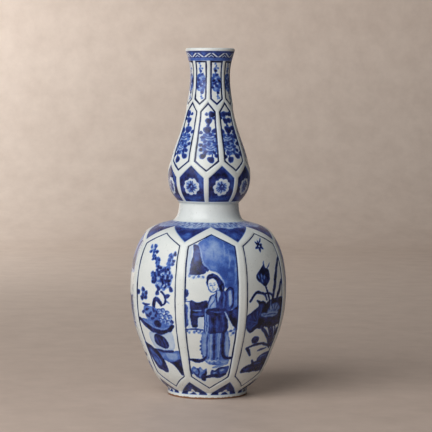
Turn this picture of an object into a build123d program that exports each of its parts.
from build123d import *
import os
from math import cos, pi, radians, sin, tan

# A moulded octagonal double gourd vase in porcelain, made as luted clay sections.
# Millimetres, +Z up, origin under the middle of the foot, and the front panel faces -Y.

# Overall sizes
HEIGHT = 270.0
SIDES = 8
SIDE_ANGLE = 360.0 / SIDES
FRONT_ANGLE = -90.0
UPPER_TWIST = -6.5  # the upper gourd was luted on a little out of register with the lower one
REACH = 110.0  # further out than any surface of the vase
CLEAR = 1.0  # how far a cut runs past the face it opens
HALVINGS = 40

# Outline of the ribs, the highest part of the moulded surface, as (radius, height)
FOOT_RADIUS = 31.0
FOOT_HEIGHT = 5.0
BELLY = [
    (32.2, 6.0), (43.8, 18.5), (51.9, 35.5), (59.2, 55.0), (62.6, 79.0),
    (61.1, 101.0), (54.9, 119.5), (48.3, 128.0), (38.8, 133.3), (28.6, 136.0),
]
BELLY_START, BELLY_END = (0.77, 0.64), (-0.96, 0.28)
COLLAR = [(28.6, 136.0), (25.0, 139.6), (23.5, 145.5), (23.2, 150.0)]
COLLAR_START, COLLAR_END = (-0.96, 0.28), (0.0, 1.0)
GOURD = [
    (23.2, 150.0), (29.4, 158.0), (32.0, 167.5), (31.7, 177.0), (28.5, 191.0),
    (23.1, 206.5), (19.0, 221.5), (16.6, 235.0), (15.6, 246.0), (15.9, 255.0), (17.3, 262.0),
    (19.2, 268.4),
]
GOURD_START, GOURD_END = (0.66, 0.75), (0.28, 0.96)
LIP_WIDTH = 2.6

# Wall, foot and base
WALL_BELLY = 4.4
WALL_COLLAR = 4.0
WALL_NECK = 3.2
FOOT_CHAMFER = 0.6
FLOOR_TOP = 9.6
FLOOR_RADIUS = 22.0
DISC_RADIUS = 27.0
DISC_RISE = 4.0  # how far the disc's rim may climb over the floor
BELLY_SHARES = (0.12, 0.26, 0.4, 0.54, 0.68, 0.79, 0.88)  # places along each outline that set the inside
COLLAR_SHARES = (0.3, 0.85)
GOURD_SHARES = (0.13, 0.24, 0.38, 0.52, 0.66, 0.8, 0.9)
INSIDE_START, INSIDE_END = (0.9, 0.42), (0.3, 0.95)

# Luting: each seam is a stepped lap filled with slip
SLIP = 0.5
LAP = 2.0
LAP_PLACE = 0.55  # share of the wall outside a lap's step
SEAM_HEIGHTS = {
    "belly": 76.0, "shoulder": 140.5, "waist": 147.0, "upper_bulb": 174.0, "neck": 231.5,
}
FOOT_BORE = DISC_RADIUS - SLIP / 2

# Moulded fields: half width in degrees, heights of the points and corners, and how far they are sunk
PANEL = dict(half=19.3, low=8.9, low_corner=19.0, high_corner=120.0, high=128.8,
             sink_edge=0.7, sink_middle=1.9, flatten=28.0)
FLOWER = dict(half=18.6, low=175.2, low_corner=183.4, high_corner=221.0, high=228.9,
              sink_edge=0.4, sink_middle=0.9, flatten=12.0)
NECK = dict(half=18.0, low=225.8, low_corner=230.6, high_corner=260.2, high=260.2,
            sink_edge=0.3, sink_middle=0.6, flatten=6.0)
MEDALLION = dict(half=18.9, low=151.6, low_corner=151.6, high_corner=170.5, high=180.0,
                 sink_edge=0.4, sink_middle=0.8, flatten=12.0)
LAPPET = dict(half=19.0, low=6.8, low_corner=6.8, high_corner=7.8, high=14.4,
              sink_edge=0.4, sink_middle=0.5, flatten=0.0)
CLOUD_HALF, CLOUD_POINT, CLOUD_CORNER, CLOUD_TOP = 20.0, 53.6, 42.5, 30.8  # degrees, then radii
CLOUD_SINK = 0.5
CLOUD_FROM, CLOUD_TO = 101.0, 139.6  # heights between which the shoulder fields are cut
FLOOR_BELOW, FLOOR_ABOVE, FLOOR_STEPS = 0.6, 2.0, 8  # how far a field's floor runs past its points
POINT_SPREAD, POINT_CLEAR = 1.7, 0.95  # how far the pointed ends run on past the radial planes


def outline_curve(stations, start, end):
    """A smooth curve through (radius, height) stations, leaving and arriving along the given ways."""
    ways = [(start[0], 0, start[1]), (end[0], 0, end[1])]
    return Spline(*[(r, 0, z) for r, z in stations], tangents=ways, tangent_scalars=(1.0, 1.0))


def turned(*edges, axis=Axis.Z):
    """A solid of revolution from the edges of a closed outline in the XZ plane."""
    return revolve(make_face(edges), axis)


def line(*points):
    """Straight runs through (radius, height) points."""
    return Polyline(*[(r, 0, z) for r, z in points])


BELLY_CURVE = outline_curve(BELLY, BELLY_START, BELLY_END)
COLLAR_CURVE = outline_curve(COLLAR, COLLAR_START, COLLAR_END)
GOURD_CURVE = outline_curve(GOURD, GOURD_START, GOURD_END)


def radius_at(height):
    """The rib outline's radius at a height, found by halving along the curve that spans it."""
    for curve in (BELLY_CURVE, COLLAR_CURVE, GOURD_CURVE):
        if (curve @ 0).Z <= height <= (curve @ 1).Z:
            low, high = 0.0, 1.0
            for _ in range(HALVINGS):
                middle = (low + high) / 2
                low, high = (middle, high) if (curve @ middle).Z < height else (low, middle)
            return (curve @ low).X
    return FOOT_RADIUS if height < BELLY[0][1] else GOURD[-1][0]


def inset_points(curve, wall, places):
    """Points one wall's thickness inside a curve, at the given shares of its length."""
    found = []
    for place in places:
        point, way = curve @ place, curve % place
        found.append((point.X - wall * way.Z, point.Z + wall * way.X))
    return found


def rounded_body():
    """The whole outer form at rib height, before the fields are sunk."""
    lip_outer, lip_height = GOURD[-1]
    lip = ThreePointArc(
        (lip_outer, 0, lip_height),
        (lip_outer - LIP_WIDTH / 2, 0, HEIGHT),
        (lip_outer - LIP_WIDTH, 0, lip_height),
    )
    return turned(
        line((0, 0), (FOOT_RADIUS - FOOT_CHAMFER, 0), (FOOT_RADIUS, FOOT_CHAMFER),
             (FOOT_RADIUS, FOOT_HEIGHT), BELLY[0]),
        BELLY_CURVE, COLLAR_CURVE, GOURD_CURVE, lip,
        line((lip_outer - LIP_WIDTH, lip_height), (0, lip_height), (0, 0)),
    )


def cavity():
    """The hollow inside, one smooth curve from the floor to the mouth."""
    mouth = (GOURD[-1][0] - LIP_WIDTH, GOURD[-1][1])
    points = [(FLOOR_RADIUS, FLOOR_TOP)]
    points += inset_points(BELLY_CURVE, WALL_BELLY, BELLY_SHARES)
    points += inset_points(COLLAR_CURVE, WALL_COLLAR, COLLAR_SHARES)
    points += inset_points(GOURD_CURVE, WALL_NECK, GOURD_SHARES)
    points += [mouth]
    wall = outline_curve(points, INSIDE_START, INSIDE_END)
    return turned(
        line((0, FLOOR_TOP), points[0]), wall,
        line(mouth, (mouth[0], HEIGHT + CLEAR), (0, HEIGHT + CLEAR), (0, FLOOR_TOP)),
    )


def foot_recess():
    """The space inside the foot ring, under the base, with the ring's inner edge chamfered."""
    return turned(line(
        (0, -CLEAR), (FOOT_BORE + FOOT_CHAMFER, -CLEAR), (FOOT_BORE + FOOT_CHAMFER, 0),
        (FOOT_BORE, FOOT_CHAMFER), (FOOT_BORE, FOOT_HEIGHT), (0, FOOT_HEIGHT), (0, -CLEAR),
    ))


def field_floor(field):
    """The solid whose outside is the sunk floor of one field: rounder than flat, flatter than the ribs."""
    low, high = field["low"] - FLOOR_BELOW, field["high"] + FLOOR_ABOVE
    curve_points = []
    for step in range(FLOOR_STEPS + 1):
        share = step / FLOOR_STEPS
        height = low + (high - low) * share
        sink = field["sink_edge"] + (field["sink_middle"] - field["sink_edge"]) * sin(pi * share)
        curve_points.append((radius_at(height) - sink, 0, height))
    axis = Axis((-field["flatten"], 0, 0), (0, 0, 1))
    inner = -field["flatten"]
    return turned(
        Polyline((inner, 0, high), (inner, 0, low), curve_points[0]),
        Spline(*curve_points),
        Polyline(curve_points[-1], (inner, 0, high)),
        axis=axis,
    )


def field_prism(field):
    """The space over one field: a pointed outline pushed outwards, between two radial planes."""
    half = radians(field["half"])
    corner_low = radius_at(field["low_corner"]) * sin(half)
    corner_high = radius_at(field["high_corner"]) * sin(half)
    points_rise = (field["low_corner"] - field["low"]) + (field["high"] - field["high_corner"])
    most_spread = POINT_CLEAR * (field["high"] - field["low"]) / max(points_rise, 1.0)
    spread = min(POINT_SPREAD, most_spread)
    low_end = field["low"] + (field["low_corner"] - field["low"]) * spread
    high_end = field["high"] + (field["high_corner"] - field["high"]) * spread
    outline = Polyline(
        (0, field["low"]), (corner_low * spread, low_end), (REACH, low_end), (REACH, high_end),
        (corner_high * spread, high_end), (0, field["high"]),
        (-corner_high * spread, high_end), (-REACH, high_end),
        (-REACH, low_end), (-corner_low * spread, low_end), close=True,
    )
    prism = extrude(Plane.YZ * make_face(outline), REACH)
    reach_across = REACH * tan(half)
    wedge = make_face(Polyline((0, 0), (REACH, -reach_across), (REACH, reach_across), close=True))
    return prism & extrude(wedge, HEIGHT)


def field_cutter(field):
    """What is taken away to sink one field."""
    return field_prism(field) - field_floor(field)


def cloud_cutter():
    """What is taken away to sink one shoulder field, drawn in plan because the shoulder lies nearly flat."""
    half = radians(CLOUD_HALF)
    corner = (CLOUD_CORNER * cos(half), CLOUD_CORNER * sin(half))
    top = (CLOUD_TOP * cos(half), CLOUD_TOP * sin(half))
    outline = make_face([
        Polyline((top[0], -top[1]), (corner[0], -corner[1]), (CLOUD_POINT, 0), corner, top),
        ThreePointArc(top, (CLOUD_TOP, 0), (top[0], -top[1])),
    ])
    prism = Pos(0, 0, CLOUD_FROM) * extrude(outline, CLOUD_TO - CLOUD_FROM)
    return prism - (rounded_body().moved(Pos(0, 0, -CLOUD_SINK)))


def ring_of(cutter, first_angle):
    """The cutter, once for each side."""
    return [Rot(0, 0, first_angle + side * SIDE_ANGLE) * cutter for side in range(SIDES)]


def moulded_shell():
    """The whole vase wall as one solid, with every field sunk and the inside hollow."""
    between = FRONT_ANGLE + SIDE_ANGLE / 2
    upper_front = FRONT_ANGLE + UPPER_TWIST
    upper_between = upper_front + SIDE_ANGLE / 2
    cutters = ring_of(field_cutter(PANEL), FRONT_ANGLE)
    cutters += ring_of(cloud_cutter(), between)
    cutters += ring_of(field_cutter(LAPPET), between)
    cutters += ring_of(field_cutter(MEDALLION), upper_between)
    cutters += ring_of(field_cutter(FLOWER), upper_front)
    cutters += ring_of(field_cutter(NECK), upper_between)
    return rounded_body() - cavity() - foot_recess() - cutters


def middle_radius(height):
    """Half way through the wall at a height, where a seam's lap stands."""
    wall = WALL_BELLY if height < COLLAR[0][1] else WALL_NECK
    return radius_at(height) - wall * LAP_PLACE


def seam_face(name, shift):
    """A seam's stepped face from the axis outwards, moved up and out by a shift."""
    height = SEAM_HEIGHTS[name]
    step = middle_radius(height + LAP / 2) + shift
    return [(0, height + LAP + shift), (step, height + LAP + shift),
            (step, height + shift), (REACH, height + shift)]


def between_faces(below, above):
    """The space between two stepped faces."""
    points = below + above[::-1]
    return turned(line(*points, points[0]))


def clay_sections(shell):
    """The thrown and moulded sections from the belly up, cut from the wall at the seams."""
    gap = SLIP / 2
    bowl_floor = [(DISC_RADIUS + gap, FOOT_HEIGHT + gap), (REACH, FOOT_HEIGHT + gap)]
    bowl_top = seam_face("belly", -gap)
    bowl_top[0] = (DISC_RADIUS + gap, bowl_top[0][1])
    mouth_top = [(0, HEIGHT + CLEAR), (REACH, HEIGHT + CLEAR)]
    names = ["lower_bulb_shoulder", "waist_collar", "upper_bulb_cup", "upper_bulb_cone", "neck_and_mouth"]
    seams = list(SEAM_HEIGHTS)
    sections = {"lower_bulb_bowl": shell & between_faces(bowl_floor, bowl_top)}
    for name, below, above in zip(names, seams, seams[1:] + [None]):
        top = seam_face(above, -gap) if above else mouth_top
        sections[name] = shell & between_faces(seam_face(below, gap), top)
    return sections


def foot_sections(shell):
    """The foot ring and the base disc, with the slip that holds them to the bowl."""
    gap = SLIP / 2
    foot_top, slip_top = FOOT_HEIGHT - gap, FOOT_HEIGHT + gap
    disc_out, bowl_in = DISC_RADIUS - gap, DISC_RADIUS + gap
    disc_top = FLOOR_TOP + DISC_RISE
    zones = {
        "foot_ring": [(0, -CLEAR), (REACH, -CLEAR), (REACH, foot_top), (0, foot_top)],
        "slip_foot": [(disc_out, foot_top), (REACH, foot_top), (REACH, slip_top), (disc_out, slip_top)],
        "base_disc": [(0, FOOT_HEIGHT), (disc_out, FOOT_HEIGHT), (disc_out, disc_top), (0, disc_top)],
        "slip_base": [(disc_out, slip_top), (bowl_in, slip_top), (bowl_in, disc_top), (disc_out, disc_top)],
    }
    return {name: shell & turned(line(*zone, zone[0])) for name, zone in zones.items()}


def slip_rings(shell):
    """The fired slip in each stepped seam."""
    gap = SLIP / 2
    return {
        f"slip_{name}": shell & between_faces(seam_face(name, -gap), seam_face(name, gap))
        for name in SEAM_HEIGHTS
    }


def main():
    shell = moulded_shell()
    nodes = {**foot_sections(shell), **clay_sections(shell), **slip_rings(shell)}
    os.makedirs("parts", exist_ok=True)
    for name, piece in nodes.items():
        solids = piece.solids()
        export_step(Compound(solids) if len(solids) > 1 else solids[0], f"parts/{name}.step")
        print(f"{name}: {len(solids)} solid, {piece.volume:.0f} mm3")


if __name__ == "__main__":
    main()
